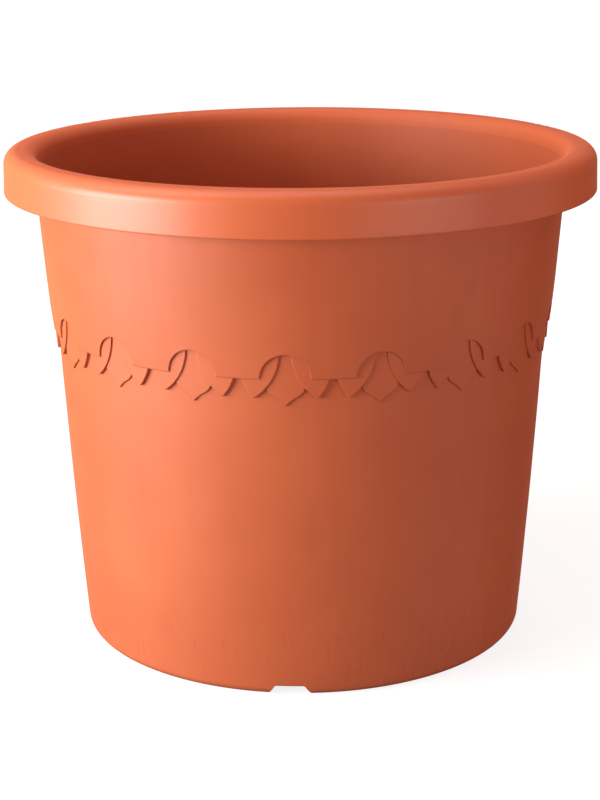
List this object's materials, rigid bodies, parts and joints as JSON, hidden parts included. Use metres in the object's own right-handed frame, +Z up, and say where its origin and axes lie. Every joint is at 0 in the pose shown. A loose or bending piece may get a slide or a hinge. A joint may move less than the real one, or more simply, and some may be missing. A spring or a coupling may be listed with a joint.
{
  "type": "plant pot",
  "caption": "Round tapered plastic plant pot with a hooked rim, a moulded band of leaves, a raised base with drain notches and push-in drain plugs.",
  "frame": {"origin": "on the floor, under the centre of the pot", "axes": "+Z up along the pot's axis; -Y is the front, towards the middle of a leaf group and a drain notch"},
  "size_m": [0.4011, 0.4012, 0.3379],
  "materials": {
    "pot_plastic": "matte to satin, terracotta coloured, faint mould streaks",
    "plug_plastic": "matte, soft plastic, terracotta coloured"
  },
  "bodies": {
    "pot": {"pot_shell": "pot_plastic"},
    "drain_plug_1": {"drain_plug_1": "plug_plastic"},
    "drain_plug_2": {"drain_plug_2": "plug_plastic"},
    "drain_plug_3": {"drain_plug_3": "plug_plastic"},
    "drain_plug_4": {"drain_plug_4": "plug_plastic"}
  },
  "joints": [
    {"name": "drain_plug_1_lift", "type": "slide", "parent": "pot", "child": "drain_plug_1", "axis": [0, 0, 1], "range_m": [0, 0.345]},
    {"name": "drain_plug_2_lift", "type": "slide", "parent": "pot", "child": "drain_plug_2", "axis": [0, 0, 1], "range_m": [0, 0.345]},
    {"name": "drain_plug_3_lift", "type": "slide", "parent": "pot", "child": "drain_plug_3", "axis": [0, 0, 1], "range_m": [0, 0.345]},
    {"name": "drain_plug_4_lift", "type": "slide", "parent": "pot", "child": "drain_plug_4", "axis": [0, 0, 1], "range_m": [0, 0.345]}
  ]
}
